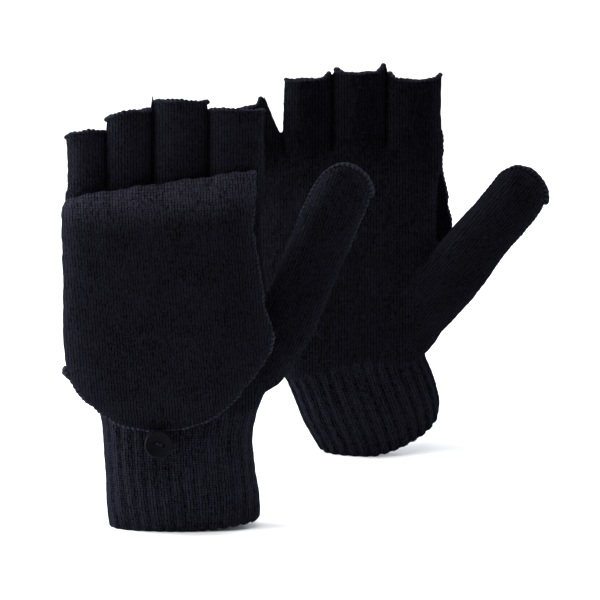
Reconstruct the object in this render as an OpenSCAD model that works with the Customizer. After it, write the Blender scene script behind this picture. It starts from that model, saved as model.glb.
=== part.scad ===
// Pair of convertible knitted mittens: half-finger stalls, a flip-top cap on
// the back of each hand, a long ribbed cuff and a two-hole button that holds
// the folded cap. Both stand upright on their cuffs, cap side and palm side
// outwards: the left mitten in front (-Y), the right mitten behind (+Y).
// Each mitten is drawn in a frame where the back of the hand faces -Y, the
// thumb is towards +X and the fingers point to +Z. The right one is mirrored.

/* [Fabric] */
// Thickness of the plain knitted fabric
wall = 1.8; // [1.2:0.1:2.2]
// Extra height of a rib of the cuff
rib_h = 1.1; // [0.4:0.1:1.4]
// Number of raised ribs round a cuff
ribs = 32; // [20:2:40]

/* [Fingers] */
// Height of the bound-off edge at the top of each finger stall
edge_h = 3.4; // [2:0.2:5]
// Half thickness of a finger stall
stall_b = 8; // [6:0.5:8.5]

/* [Cap] */
// Height of the cap's pocket above its inner panel
cap_h = 13; // [9:0.5:16]
// Width of the hem at the cap's mouth
hem_w = 5; // [3:0.5:8]
// Angle of the knuckle line, to which the cap is sewn
knuckle_tilt = 4; // [0:1:8]

/* [Button] */
// Radius of the button
button_r = 6.6; // [5:0.1:8]
// Thickness of the button's rim
button_t = 3.6; // [2.5:0.1:5]
// Radius of the two thread holes
hole_r = 0.95; // [0.6:0.05:1.2]

/* [Hidden] */
NODES = [
  "left_cuff", "left_hand", "left_thumb_root", "left_thumb",
  "left_little_stall", "left_ring_stall", "left_middle_stall", "left_index_stall",
  "left_little_edge", "left_ring_edge", "left_middle_edge", "left_index_edge",
  "left_cap_joining_seam", "left_cap_inner_panel", "left_cap_outer_panel",
  "left_cap_hem", "left_cap_edge_seam", "left_button_loop",
  "left_button", "left_button_thread",
  "right_cuff", "right_hand", "right_thumb_root", "right_thumb",
  "right_little_stall", "right_ring_stall", "right_middle_stall", "right_index_stall",
  "right_little_edge", "right_ring_edge", "right_middle_edge", "right_index_edge",
  "right_cap_joining_seam", "right_cap_inner_panel", "right_cap_outer_panel",
  "right_cap_hem", "right_cap_edge_seam", "right_button_loop",
  "right_button", "right_button_thread"
];
node = "all";

yarn = [0.045, 0.043, 0.062];
yarn_light = [0.07, 0.068, 0.095];
shell_black = [0.03, 0.03, 0.035];
N = 32;        // points round a plain ring
back = -77;    // the plane that the back of the hand reaches
root_h = 8;    // length of the sleeve at the root of the thumb
seat = [-0.175, -1.8, 0]; // puts the middle of the pair over the origin

// A ring is [x, y, z, lean, pitch, a, b]: its centre, the lean of its axis
// towards +X, the pitch of its axis towards +Y, and its two half widths.

// Cuff, from the rim up
left_cuff_rings = [
  [-55, -60.5, 0, 0, 0, 34, 16.5], [-56, -60, 12, -3, 0, 34.6, 17],
  [-57.2, -60, 26, -3, 0, 34, 17], [-58.3, -59.6, 42, -1, 0, 34.2, 16.6],
  [-58, -59.3, 56, 0, 0, 36.5, 16.6]];
right_cuff_rings = [
  [33, -72.5, 10.2, -16, 34, 29.6, 15.8], [30.4, -69.8, 18, -15, 24, 31.2, 16.4],
  [27.2, -66.5, 26, -15, 18, 31.8, 17], [24.3, -62.5, 36, -12, 10, 31.6, 17.2],
  [22.5, -59.5, 46, -11, 0, 32.5, 17.5]];

// Hand, from the wrist up to the web between the fingers
left_hand_rings = [
  [-58, -60, 56, 0, 0, 36.5, 17], [-58.3, -59.2, 63, 0, 0, 39.5, 17.8],
  [-59.5, -58.4, 75, 0, 0, 43.5, 18.6], [-61, -58.6, 90, -1, 0, 45, 18.4],
  [-63, -61, 110, -2, 0, 45.3, 16], [-64.5, -64, 130, -3, 0, 45, 13],
  [-65, -66.3, 145, -4, 0, 45, 10.7], [-65, -68.2, 162, -4, 0, 45, 8.8]];
right_hand_rings = [
  [22.5, -59.5, 46, -11, 0, 32.5, 17.5], [20.8, -59, 54, -8, 0, 36.5, 18],
  [18.5, -58.4, 64, -5, 0, 40.2, 18.6], [17, -58.8, 78, -4, 0, 42.9, 18.2],
  [16, -61, 97, -4, 0, 44.6, 16], [16, -64, 115, -4, 0, 45.2, 13],
  [16.4, -66.3, 129, -4, 0, 45.4, 10.7], [16.6, -68.2, 144, -4, 0, 45.4, 8.8]];
// Gusset, from inside the palm to the root of the thumb
left_gusset_rings = [
  [-34.3, -57.1, 71.2, 31, 0, 18, 13], [-27.2, -55.6, 77.2, 30, 0, 19, 14.4],
  [-17.2, -55.1, 88.1, 27.6, 0, 17, 14.4], [-8.6, -55.6, 98, 23.3, 0, 14.6, 13.2],
  [-3.8, -56, 106.5, 20, 0, 13, 12]];
right_gusset_rings = [
  [36, -57, 62, 35, 0, 15, 12], [45, -55.5, 68, 37, 0, 16.5, 14],
  [53, -55, 74.5, 37.5, 0, 16.5, 14.5], [62, -55.5, 83, 38, 0, 15.5, 13.2],
  [71.3, -56, 92, 38.5, 0, 14, 12]];

// Thumb, from its root to its tip
left_thumb_rings = [
  [-3.8, -56, 106.5, 20, 0, 13, 12], [1.2, -56.5, 119.5, 21, 0, 13.3, 12],
  [7, -57, 134, 22.5, 0, 13.2, 11.6], [13, -57.5, 148, 24, 0, 13, 11.2],
  [17.8, -58, 158, 26, 0, 12, 10.2], [20.6, -58, 163.5, 27, 0, 10, 8.4],
  [22.6, -58, 167.5, 28, 0, 6, 5]];
right_thumb_rings = [
  [71.3, -56, 92, 38.5, 0, 14, 12], [78.5, -56.5, 101, 39, 0, 13.4, 12],
  [86, -57, 110.2, 40, 0, 13, 11.6], [93, -57.5, 118.5, 41, 0, 12.6, 11.2],
  [99.5, -58, 125.8, 43, 0, 11.8, 10.2], [103.8, -58, 130.3, 45, 0, 9.8, 8.4],
  [106.8, -58, 133.3, 45, 0, 6, 5]];

// Finger stalls: [x at the root, x at the top, half width, height of the top,
// pitch of the top]
left_stalls = [
  [-100.5, -100.4, 8.8, 188, 14], [-80.7, -80.6, 10.4, 198.2, 14],
  [-56.6, -56.3, 12.1, 204.4, 14], [-31.9, -31.3, 12.2, 200, 14]];
right_stalls = [
  [-18.8, -28.2, 8.5, 164.5, -14], [1, 1.2, 10.8, 177.6, -14],
  [25, 25.4, 11.9, 180.8, -14], [49.8, 50.5, 11.8, 177, -14]];
stall_top_b = 5; // half thickness of a stall at its top

// Cap: rows of [distance below the knuckle line, left edge, right edge, share
// of the pocket's height]
base_rows = [
  [-10, -43.4, 45.5, 0.86], [0, -43.8, 44.6, 0.97], [8, -44.2, 43.2, 1],
  [18, -44.6, 41.8, 1.02], [36, -45.4, 43.4, 1], [56, -46.3, 44.6, 0.97],
  [67, -46.9, 48.4, 0.94], [78, -47.1, 44, 0.86], [86, -44.3, 38.4, 0.76],
  [94, -38.6, 31.4, 0.62], [101, -32, 24.6, 0.48], [106, -24.4, 16.4, 0.36],
  [109, -16.6, 9, 0.25]];
spread = [0.6, 0.8, 0.9, 1, 1, 0.5, 0.1, 0, 0, 0, 0, 0, 0];
$wide = 0; // extra width towards the thumb
function rows() = [for (i = [0:len(base_rows) - 1]) base_rows[i] + [0, 0, $wide * spread[i], 0]];
panel_t = 1.5;

// [centre of the knuckle line, angle that the folded cap stands off the hand]
left_cap_at = [[-67, back - 1.25, 160], 0];
right_cap_at = [[16.5, back - 1.25, 143], 4];

// [point on the cuff, pitch of the button's axis, length of the shank,
// distance of the loop from the cuff, length of the loop's tail]
left_button_at = [[-66.7, back - 1.6, 45.5], 0, 4.2, 0.85, 0];
right_button_at = [[20, -86.6, 24.8], -19, 4.2, 1.6, 3.8];

// ---- functions -------------------------------------------------------------

function sgn(v) = v < 0 ? -1 : 1;
function spow(v, p) = sgn(v) * pow(abs(v), p);

// Points round one ring, inset by d, with k ribs of height h
function ring(s, d = 0, n = 2.6, count = N, k = 0, h = 0) =
  let (l = s[3], f = s[4],
       t = [cos(l), 0, -sin(l)], a0 = [sin(l), 0, cos(l)],
       b = [0, cos(f), 0] - sin(f) * a0)
  [for (i = [0:count - 1])
    let (w = 360 * i / count,
         e = k > 0 ? h * (0.5 + 0.5 * cos(k * w)) : 0,
         u = (s[5] - d + e) * spow(cos(w), 2 / n),
         v = (s[6] - d + e) * spow(sin(w), 2 / n))
    over_floor([s[0], s[1], s[2]] + u * t + v * b)];

// The soft rim of a leaning cuff lies flat where it meets the floor
function over_floor(p) = [p[0], p[1], max(p[2], 0)];

function flat(rows) = [for (r = rows) each r];

// Triangles between consecutive rings of c points, from ring r0 to ring r1
function sides(r0, r1, c, flip = false) =
  [for (r = [r0:r1 - 1], i = [0:c - 1])
    let (j = (i + 1) % c, p = r * c + i, q = r * c + j,
         m = (r + 1) * c + i, o = (r + 1) * c + j)
    each flip ? [[p, q, m], [q, o, m]] : [[p, m, q], [q, m, o]]];
// Triangles between ring r0 and ring r1, which need not be neighbours
function annulus(r0, r1, c, flip = false) =
  [for (i = [0:c - 1])
    let (j = (i + 1) % c, p = r0 * c + i, q = r0 * c + j,
         m = r1 * c + i, o = r1 * c + j)
    each flip ? [[p, q, m], [q, o, m]] : [[p, m, q], [q, m, o]]];

// ---- shared shapes -----------------------------------------------------------

// Tube open at both ends, between the outer rings and the same rings inset
module tube(rings, inset, k = 0, h = 0, count = N) {
  m = len(rings);
  outer = [for (s = rings) ring(s, 0, 2.6, count, k, h)];
  inner = [for (s = rings) ring(s, inset, 2.6, count)];
  polyhedron(
    points = flat(concat(outer, inner)),
    faces = concat(
      sides(0, m - 1, count),
      sides(m, 2 * m - 1, count, true),
      annulus(0, m, count, true),
      annulus(m - 1, 2 * m - 1, count)),
    convexity = 4);
}

// Closed body through convex rings
module loft(rows) {
  c = len(rows[0]);
  for (i = [0:len(rows) - 2])
    hull()
      polyhedron(
        points = concat(rows[i], rows[i + 1]),
        faces = concat([[for (j = [0:c - 1]) j]],
                       [[for (j = [c - 1:-1:0]) c + j]],
                       sides(0, 1, c)));
}

// ---- sub-parts in the shared frame ------------------------------------------

module cuff(rings) {
  color(yarn) tube(rings, wall + 0.4, ribs, rib_h, ribs * 4);
}

module hand(rings, gusset, stalls) {
  m = len(rings) - 1;
  top = rings[m];
  below = [top[0], top[1], top[2] - wall, top[3], 0, top[5], top[6]];
  g = len(gusset) - 1;
  out = gusset[g] + [sin(gusset[g][3]), 0, cos(gusset[g][3]), 0, 0, 0, 0];
  foot = rings[0] - [0, 0, 1, 0, 0, 0, 0];
  color(yarn) difference() {
    union() {
      loft([for (s = rings) ring(s)]);
      loft([for (s = gusset) ring(s)]);
    }
    loft([for (s = concat([foot], [for (i = [0:m - 1]) rings[i]], [below])) ring(s, wall)]);
    loft([for (s = concat([for (i = [1:g]) gusset[i]], [out])) ring(s, wall + 0.17)]);
    for (s = stalls)
      translate([s[0], top[1], knuckle_z(rings, s[0]) - 6])
        scale([s[2] - wall - 0.4, stall_b - wall - 0.4, 1]) cylinder(h = 12.3, r = 1, $fn = 26);
  }
}

// Height of the web between the fingers at x
function knuckle_z(rings, x) =
  let (top = rings[len(rings) - 1]) top[2] + (x - top[0]) * tan(knuckle_tilt);

// Ring of a finger stall at share f of its height, cut along the web at f = 0
function stall_ring(rings, s, f, swell = 0) =
  let (y = rings[len(rings) - 1][1] , z0 = knuckle_z(rings, s[0]), z1 = s[3])
  [s[0] + (s[1] - s[0]) * f, y, z0 + (z1 - z0) * f,
   -knuckle_tilt * (1 - f), s[4] * f, s[2] + swell,
   stall_b + (stall_top_b - stall_b) * f * f + swell * 0.5];

module stall(rings, s) {
  z0 = knuckle_z(rings, s[0]);
  top = 1 - edge_h / (s[3] - z0);
  color(yarn) tube([for (f = [0, 0.3, 0.6, top]) stall_ring(rings, s, f, f > 0 && f < top ? 0.15 : 0)], wall);
}

module edge(rings, s) {
  z0 = knuckle_z(rings, s[0]);
  top = 1 - edge_h / (s[3] - z0);
  color(yarn_light) tube([for (f = [top, 1]) stall_ring(rings, s, f, -0.2)], wall);
}

// Point on the thumb's axis at distance d above its root, as a ring
function thumb_at(rings, d) =
  let (p = rings[0], q = rings[1], f = d / norm([q[0] - p[0], q[2] - p[2]]))
  [for (i = [0:6]) p[i] + (q[i] - p[i]) * f];

// Short sleeve that creases when the thumb swings
module thumb_root(rings) {
  color(yarn) tube([rings[0], thumb_at(rings, root_h / 2), thumb_at(rings, root_h)], wall);
}

module thumb(all_rings) {
  rings = concat([thumb_at(all_rings, root_h + 0.05)], [for (i = [1:len(all_rings) - 1]) all_rings[i]]);
  m = len(rings) - 1;
  start = rings[0] - [sin(rings[0][3]), 0, cos(rings[0][3]), 0, 0, 0, 0];
  color(yarn) difference() {
    loft([for (s = rings) ring(s)]);
    loft([for (s = concat([start], [for (i = [0:m - 1]) rings[i]])) ring(s, wall)]);
  }
}

// Frame of the folded cap: X along the knuckle line, Y outwards from the hand,
// Z down from the knuckle line
module cap_frame(at) {
  translate(at[0]) rotate([0, -knuckle_tilt, 0]) rotate([-at[1], 0, 0])
    mirror([0, 0, 1]) mirror([0, 1, 0]) children();
}

// Section of the pocket at one row: an arch on the inner panel's face
function arch(r, d, grow, low) =
  let (l = r[1] + d - grow, w = r[2] - d + grow, h = cap_h * r[3] - d + grow)
  concat([[l, low, r[0]]],
    [for (i = [0:24])
      let (t = 180 - 180 * i / 24)
      [(l + w) / 2 + (w - l) / 2 * spow(cos(t), 2 / 3), panel_t / 2 + h * spow(sin(t), 2 / 2.4), r[0]]],
    [[w, low, r[0]]]);

module pocket(d = 0, grow = 0) {
  all = rows();
  m = len(all) - 1;
  list = d > 0
    ? concat([[-12, all[0][1], all[0][2], 0.84]], [for (i = [1:m - 1]) all[i]], [all[m] - [1.5, 0, 0, 0]])
    : all;
  loft([for (r = list) arch(r, d, grow, d > 0 ? panel_t / 2 - 1 : panel_t / 2)]);
}

// Zone above a line that runs across the mouth, moved down by s
module mouth(s) {
  translate([0, -20, 0]) rotate([-90, 0, 0])
    linear_extrude(60)
      polygon([[-70, 60], [-70, -12 - s], [-47, -12 - s], [-44, -6 - s], [-34, 3.5 - s],
               [-20, 7 - s], [0, 8.5 - s], [60, 9.5 - s], [60, 60]]);
}

module cap_outer_panel(at) {
  color(yarn) cap_frame(at) difference() {
    pocket();
    pocket(wall);
    mouth(hem_w);
  }
}

module cap_hem(at) {
  color(yarn_light) cap_frame(at) intersection() {
    difference() {
      pocket(0, 0.7);
      pocket(wall);
      mouth(0);
      difference() {
        translate([-80, -25, -30]) cube([160, 70, 160]);
        mouth(hem_w);
      }
    }
    cap_plate(-5, 40) offset(delta = -0.05) cap_outline(-14);
  }
}

// Outline of the panels from the knuckle line to the tip
module cap_outline(top = 0) {
  all = rows();
  m = len(all) - 1;
  polygon(concat([[all[1][1], top]], [for (i = [2:m]) [all[i][1], all[i][0]]],
                 [for (i = [m:-1:2]) [all[i][2], all[i][0]]], [[all[1][2], top]]));
}

module cap_plate(y0, y1) {
  translate([0, y1, 0]) rotate([90, 0, 0]) linear_extrude(y1 - y0) children();
}

module cap_inner_panel(at) {
  color(yarn) cap_frame(at) cap_plate(-panel_t / 2, panel_t / 2) cap_outline(0);
}

module cap_edge_seam(at) {
  color(yarn_light) cap_frame(at) cap_plate(-panel_t / 2, panel_t / 2 + 1.4) difference() {
    offset(delta = 1) cap_outline(0);
    cap_outline(0);
    translate([-80, -20]) square([160, 22]);
    translate([-80, -20]) square([60, 98]);
  }
}

// Row of stitches that joins the cap's inner panel to the back of the hand
module cap_joining_seam(rings, at) {
  top = rings[len(rings) - 1];
  c = at[0];
  color(yarn_light)
    for (i = [0:8])
      hull()
        for (q = [i, i + 1])
          let (x = -37.5 + q * 75 / 9,
               y = min(top[1] - (top[6] + 1) * pow(1 - pow(abs(x) / 45, 2.6), 1 / 2.6), top[1] - stall_b - 1))
            translate([c[0] + 1 + x, y, c[2] + 1.9 + x * tan(knuckle_tilt)]) sphere(r = 0.9, $fn = 8);
}

module button_frame(at) {
  translate(at[0]) rotate([at[1], 0, 0]) rotate([90, 0, 0]) rotate([0, 0, -18]) children();
}

// Dished button with a raised rim, its axis outwards from the cuff
module button(at) {
  color(shell_black) button_frame(at) translate([0, 0, at[2]]) difference() {
    rotate_extrude($fn = 64)
      polygon([[0, 0], [button_r - 1.6, 0], [button_r - 0.3, 1], [button_r, 2],
               [button_r, button_t - 0.8], [button_r - 0.6, button_t], [button_r - 1.5, button_t],
               [button_r - 2.3, button_t - 0.6], [button_r - 3.2, button_t - 1.5], [0, button_t - 1.8]]);
    for (x = [-2, 2]) translate([x, 0, -1]) cylinder(h = 8, r = hole_r, $fn = 32);
  }
}

module button_thread(at) {
  t = at[2];
  color(yarn) button_frame(at) union() {
    cylinder(h = t, r1 = 1.2, r2 = 2.8, $fn = 24);
    for (x = [-2, 2]) translate([x, 0, t - 0.5]) cylinder(h = button_t - 0.6, r = 0.6, $fn = 24);
    translate([-2.6, -0.6, t + button_t - 1.7]) cube([5.2, 1.2, 0.7]);
  }
}

// Elastic loop at the cap's tip, round the shank under the button
module button_loop(at) {
  color(yarn) button_frame(at) translate([0, 0, at[3]]) union() {
    rotate_extrude($fn = 40) translate([3.5, 0]) circle(r = 0.6, $fn = 16);
    if (at[4] > 0)
      rotate([0, 0, 18]) translate([0, 3.5, 0]) rotate([-90, 0, 0]) cylinder(h = at[4] + 0.6, r = 0.6, $fn = 16);
  }
}

// ---- placement -------------------------------------------------------------------

module left_cuff() { here() cuff(left_cuff_rings); }
module left_hand() { here() hand(left_hand_rings, left_gusset_rings, left_stalls); }
module left_thumb_root() { here() thumb_root(left_thumb_rings); }
module left_thumb() { here() thumb(left_thumb_rings); }
module left_stall(i) { here() stall(left_hand_rings, left_stalls[i]); }
module left_edge(i) { here() edge(left_hand_rings, left_stalls[i]); }

module here() { translate(seat) children(); }
module other() { translate(seat) mirror([0, 1, 0]) children(); }
module right_cuff() { other() cuff(right_cuff_rings); }
module right_hand() { other() hand(right_hand_rings, right_gusset_rings, right_stalls); }
module right_thumb_root() { other() thumb_root(right_thumb_rings); }
module right_thumb() { other() thumb(right_thumb_rings); }
module right_stall(i) { other() stall(right_hand_rings, right_stalls[i]); }
module right_edge(i) { other() edge(right_hand_rings, right_stalls[i]); }

function shown(name) = node == "all" || node == name;

if (shown("left_cuff")) left_cuff();
if (shown("left_hand")) left_hand();
if (shown("left_thumb_root")) left_thumb_root();
if (shown("left_thumb")) left_thumb();
if (shown("left_little_stall")) left_stall(0);
if (shown("left_ring_stall")) left_stall(1);
if (shown("left_middle_stall")) left_stall(2);
if (shown("left_index_stall")) left_stall(3);
if (shown("left_little_edge")) left_edge(0);
if (shown("left_ring_edge")) left_edge(1);
if (shown("left_middle_edge")) left_edge(2);
if (shown("left_index_edge")) left_edge(3);
if (shown("left_cap_joining_seam")) here() cap_joining_seam(left_hand_rings, left_cap_at);
if (shown("left_cap_inner_panel")) here() cap_inner_panel(left_cap_at);
if (shown("left_cap_outer_panel")) here() cap_outer_panel(left_cap_at);
if (shown("left_cap_hem")) here() cap_hem(left_cap_at);
if (shown("left_cap_edge_seam")) here() cap_edge_seam(left_cap_at);
if (shown("left_button_loop")) here() button_loop(left_button_at);
if (shown("left_button")) here() button(left_button_at);
if (shown("left_button_thread")) here() button_thread(left_button_at);

if (shown("right_cuff")) right_cuff();
if (shown("right_hand")) right_hand();
if (shown("right_thumb_root")) right_thumb_root();
if (shown("right_thumb")) right_thumb();
if (shown("right_little_stall")) right_stall(0);
if (shown("right_ring_stall")) right_stall(1);
if (shown("right_middle_stall")) right_stall(2);
if (shown("right_index_stall")) right_stall(3);
if (shown("right_little_edge")) right_edge(0);
if (shown("right_ring_edge")) right_edge(1);
if (shown("right_middle_edge")) right_edge(2);
if (shown("right_index_edge")) right_edge(3);
if (shown("right_cap_joining_seam")) other() cap_joining_seam(right_hand_rings, right_cap_at);
if (shown("right_cap_inner_panel")) other() cap_inner_panel(right_cap_at, $wide = 4.5);
if (shown("right_cap_outer_panel")) other() cap_outer_panel(right_cap_at, $wide = 4.5);
if (shown("right_cap_hem")) other() cap_hem(right_cap_at, $wide = 4.5);
if (shown("right_cap_edge_seam")) other() cap_edge_seam(right_cap_at, $wide = 4.5);
if (shown("right_button_loop")) other() button_loop(right_button_at);
if (shown("right_button")) other() button(right_button_at);
if (shown("right_button_thread")) other() button_thread(right_button_at);
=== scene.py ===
"""Pair of convertible flip-top mittens, knitted, with ribbed cuffs.
Shapes are written in millimetres in one mitten's own frame: the back of the
hand faces -Y, the thumb is towards +X, the fingers point to +Z. The right
mitten is the same frame mirrored in Y."""
import math

import bpy
import numpy as np
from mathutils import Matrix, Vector, noise

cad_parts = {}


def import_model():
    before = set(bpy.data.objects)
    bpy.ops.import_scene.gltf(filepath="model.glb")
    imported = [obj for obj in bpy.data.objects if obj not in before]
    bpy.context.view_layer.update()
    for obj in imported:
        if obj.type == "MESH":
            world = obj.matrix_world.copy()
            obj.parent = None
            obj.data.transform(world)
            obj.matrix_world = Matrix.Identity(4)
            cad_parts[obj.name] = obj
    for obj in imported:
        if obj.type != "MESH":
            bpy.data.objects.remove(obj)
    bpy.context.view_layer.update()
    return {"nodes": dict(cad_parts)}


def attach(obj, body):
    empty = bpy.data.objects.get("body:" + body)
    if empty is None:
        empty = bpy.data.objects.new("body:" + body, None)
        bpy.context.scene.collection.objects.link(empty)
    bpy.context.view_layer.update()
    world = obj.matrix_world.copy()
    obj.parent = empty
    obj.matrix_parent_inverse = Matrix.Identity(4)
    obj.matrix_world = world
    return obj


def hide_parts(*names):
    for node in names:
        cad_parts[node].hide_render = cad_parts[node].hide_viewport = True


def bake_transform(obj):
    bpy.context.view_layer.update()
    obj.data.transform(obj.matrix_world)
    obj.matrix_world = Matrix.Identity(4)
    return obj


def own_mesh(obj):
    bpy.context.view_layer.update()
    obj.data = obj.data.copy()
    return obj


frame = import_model()

SEAT = np.array([-0.175, -1.8, 0.0])  # the mittens' frame in the shared one
FRONT = {"left": 1, "right": -1}  # the right mitten is mirrored
BACK = -77.0  # the back of the knuckles, where the cap hangs
TILT = math.radians(4)  # the knuckle line rises towards the thumb
OUTLINE = 2.6  # power of the hand's superelliptic outline
WALE, COURSE = 1.34, 1.08  # one column and one row of stitches
RIBS, WALES_PER_RIB, POINTS_PER_RIB, CUFF_WALL = 30, 4, 12, 1.9
CAP_LENGTH, CAP_H = 109, 12.4  # knuckle line to tip, and the puff's height
STEP = 0.35  # between points along a seam
ABOVE_FLOOR = 0.05  # the lowest that a cuff reaches
VOXEL, SMOOTHING = 1.0, 5  # of the remeshed skin
THUMB_BEND = 9  # length over which the thumb's root bends
LINING = 1.3  # between a stall's outside and its inside
FIBRES = {"hand": 6000, "cap": 3600, "thumb": 1400, "finger": 2400}
FINGERS = ["little", "ring", "middle", "index"]

# Rings: x, y, z of the centre, lean towards +X, pitch towards +Y in degrees,
# half width, half depth, and outline power where it isn't the usual one
# Stalls: x at root and top, half width, height of the edge, then its tilt,
# bow, left and right corner points
# Cap and button: the point each hangs from and its angle
M = {
    "left": {
        "cuff": [[-55.2, -60.5, 0, 0, 0, 34.2, 11.2], [-56, -60, 12, -3, 0, 34.8, 14.8],
                 [-57.2, -60, 26, -3, 0, 34, 17], [-58.3, -59.8, 42, -1, 0, 34.0, 16.7],
                 [-58, -59.6, 52, 0, 0, 35.4, 16.6], [-58.4, -59.4, 59, 0, 0, 38.2, 17.2],
                 [-58.8, -59.3, 65, 0, 0, 39.6, 16.6]],
        "hand": [[-58, -60, 50, 0, 0, 32, 13.5], [-58.2, -59.8, 55, 0, 0, 35.2, 15.6],
                 [-58.6, -59.4, 62, 0, 0, 39.6, 17.6], [-59.5, -58.6, 75, 0, 0, 43.6, 18.6],
                 [-61, -58.8, 90, -1, 0, 45, 18.4], [-63, -61, 110, -2, 0, 45.3, 16],
                 [-64.5, -64, 130, -3, 0, 45, 13], [-65, -66.3, 145, -4, 0, 45, 10.8],
                 [-65, -68.2, 163, -4, 0, 45, 8.7]],
        "gusset": [[-34, -57, 71, 30, 0, 17, 12], [-27, -55.5, 77, 30, 0, 18.6, 14],
                   [-17, -55, 88, 28, 0, 17, 14.2], [-8.5, -55.5, 98, 23, 0, 14.5, 13.2],
                   [-3.8, -56, 106.5, 20, 0, 13, 12]],
        "thumb": [[-3.8, -56, 106.5, 20, 0, 13, 12], [1.2, -56.5, 119.5, 21, 0, 13.2, 12],
                  [7, -57, 134, 22.5, 0, 13.0, 11.6], [12.6, -57.5, 147.6, 24, 0, 12.8, 11.2],
                  [17, -58, 157, 26, 0, 12.2, 10.2], [19.8, -58, 162.6, 27, 0, 10.4, 8.2],
                  [21.6, -58, 166.6, 28, 0, 6.6, 4.6], [22.2, -58, 168, 28, 0, 2.5, 1.4]],
        "stalls": [[-98.8, -100.1, 9.2, 189.0, 1.2, -1.5, 0, 0.2],
                   [-80.7, -80.6, 10.5, 198.2, 1.6, -1.8, 0, 1.4],
                   [-56.6, -56.2, 12.3, 203.5, -0.9, -1.2, 0.3, 1.6],
                   [-31.8, -31.2, 12.9, 199.0, -0.8, -0.6, 0.2, 1.8]],
        "cap": ([-67, BACK - 1.25, 160], 0.0),
        "button": ([-66.7, BACK - 1.6, 45.5], 0.0),
    },
    "right": {
        "cuff": [[33.8, -72.5, 10.4, -16, 34, 28.8, 17.4, 2.0],
                 [32.1, -69.8, 18, -15, 24, 30.8, 17, 2.1],
                 [29.4, -66.5, 26, -15, 18, 31.8, 17, 2.2],
                 [26.0, -62.5, 36, -12, 10, 32.0, 17, 2.3],
                 [23.2, -59.8, 44, -11, 0, 32.6, 17, 2.3],
                 [21.8, -59.2, 50, -9, 0, 35.2, 17.8, 2.4],
                 [21.2, -58.9, 55, -8, 0, 36.8, 17.4, 2.5]],
        "hand": [[22.5, -59.5, 40, -11, 0, 28, 13], [22.3, -59.3, 45, -11, 0, 32.2, 16],
                 [20.8, -58.8, 53, -8, 0, 37.2, 18.4], [18.5, -58.4, 64, -5, 0, 40.2, 18.8],
                 [17, -58.8, 78, -4, 0, 42.9, 18.2], [16, -61, 97, -4, 0, 44.6, 16],
                 [16, -64, 115, -4, 0, 45.2, 13], [16.4, -66.3, 129, -4, 0, 45.4, 10.8],
                 [16.6, -68.2, 145, -4, 0, 45.4, 8.7]],
        "gusset": [[36, -57, 62, 35, 0, 15, 12], [45, -55.5, 68, 37, 0, 16.5, 14],
                   [53, -55, 74.5, 37.5, 0, 16.5, 14.5], [62, -55.5, 83, 38, 0, 15.5, 13.2],
                   [71.3, -56, 92, 38.5, 0, 14, 12]],
        "thumb": [[71.3, -56, 92, 38.5, 0, 14, 12], [78.5, -56.5, 101.4, 39, 0, 13.4, 12],
                  [86.3, -57, 110.8, 40, 0, 12.8, 11.6], [93.6, -57.5, 119.4, 41, 0, 12.6, 11.2],
                  [99.0, -58, 126.3, 41, 0, 12.4, 10.2], [102.2, -58, 131.1, 40, 0, 10.6, 8.2],
                  [104.4, -58, 134.4, 39, 0, 6.6, 4.6], [105, -58, 135.4, 39, 0, 2.4, 1.4]],
        "stalls": [[-16.9, -28.2, 8.9, 164.6, 2.0, 0, 0, 4.2],
                   [1.0, 1.2, 11.1, 178.4, 0.4, 0.2, 0.4, 3.0],
                   [25.0, 25.4, 12.0, 181.5, 0.3, 0.3, 2.4, 3.8],
                   [49.9, 50.9, 12.8, 178, -0.2, 0.6, 3.0, 3.4]],
        "cap": ([16.5, BACK - 1.25, 143], math.radians(4)),
        "button": ([20, -86.6, 24.8], math.radians(-19)),
    },
}
# Cap: distance below the knuckle line, left edge, right edge, height share
CAP = np.array([[-10, -42.3, 45.0, 1.16], [0, -43.7, 44.4, 1.2], [8, -44.8, 43.2, 1.22],
                [18, -45.2, 41.9, 1.14], [36, -46.0, 43.4, 0.98], [56, -47.4, 44.8, 0.92],
                [67, -47.9, 47.8, 0.90], [78, -47.3, 44.0, 0.86], [86, -44.3, 38.4, 0.76],
                [94, -38.6, 31.4, 0.62], [101, -31, 24.0, 0.38], [106, -23, 15.6, 0.2],
                [109, -13, 6, 0.08]], float)
# Where the heel of the right palm sags over the cuff
HEEL = [[55, -53, 71, 38, 0, 12, 8], [49, -49.5, 63.5, 38, 0, 12.6, 9],
        [42, -47.5, 55.5, 42, 0, 11, 7.5], [36, -47.5, 50, 46, 0, 6.5, 4.5]]
# Creases: two ends (x, z), side of the hand (-1 back, 1 palm), width, depth
FOLDS = {
    "left": [[(-14, 108), (-30, 84), -1, 4.0, 0.9], [(-12, 92), (-26, 70), -1, 3.5, 0.8],
             [(-16, 112), (-40, 120), 1, 5, 1.0], [(-20, 84), (-60, 92), 1, 6, 0.9],
             [(-30, 70), (-78, 74), 1, 5, 0.8], [(-22, 128), (-70, 134), 1, 6, 0.7]],
    "right": [[(60, 101), (40, 92), 1, 5.0, 1.1], [(64, 96), (46, 74), 1, 5.5, 1.2],
              [(58, 112), (20, 118), 1, 6, 0.7], [(48, 62), (16, 60), 1, 5, 0.8],
              [(40, 76), (2, 92), 1, 8, 0.9], [(30, 104), (-14, 112), 1, 7, 0.6]],
}
# Button: length of its shank, turn about it, and half its section
SHANK, BUTTON_TURN = 4.2, math.radians(18)
BUTTON_PROFILE = [(0.01, 0), (3, 0), (4.9, 0.02), (5.9, 0.45), (6.4, 1.1), (6.6, 1.9),
                  (6.58, 2.7), (6.35, 3.35), (5.95, 3.6), (5.55, 3.5), (5.3, 3.2), (5.15, 3.08),
                  (4.4, 2.8), (3.4, 2.4), (2, 2.05), (0.9, 1.9), (0.01, 1.85)]


# ---- numbers -------------------------------------------------------------------

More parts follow.
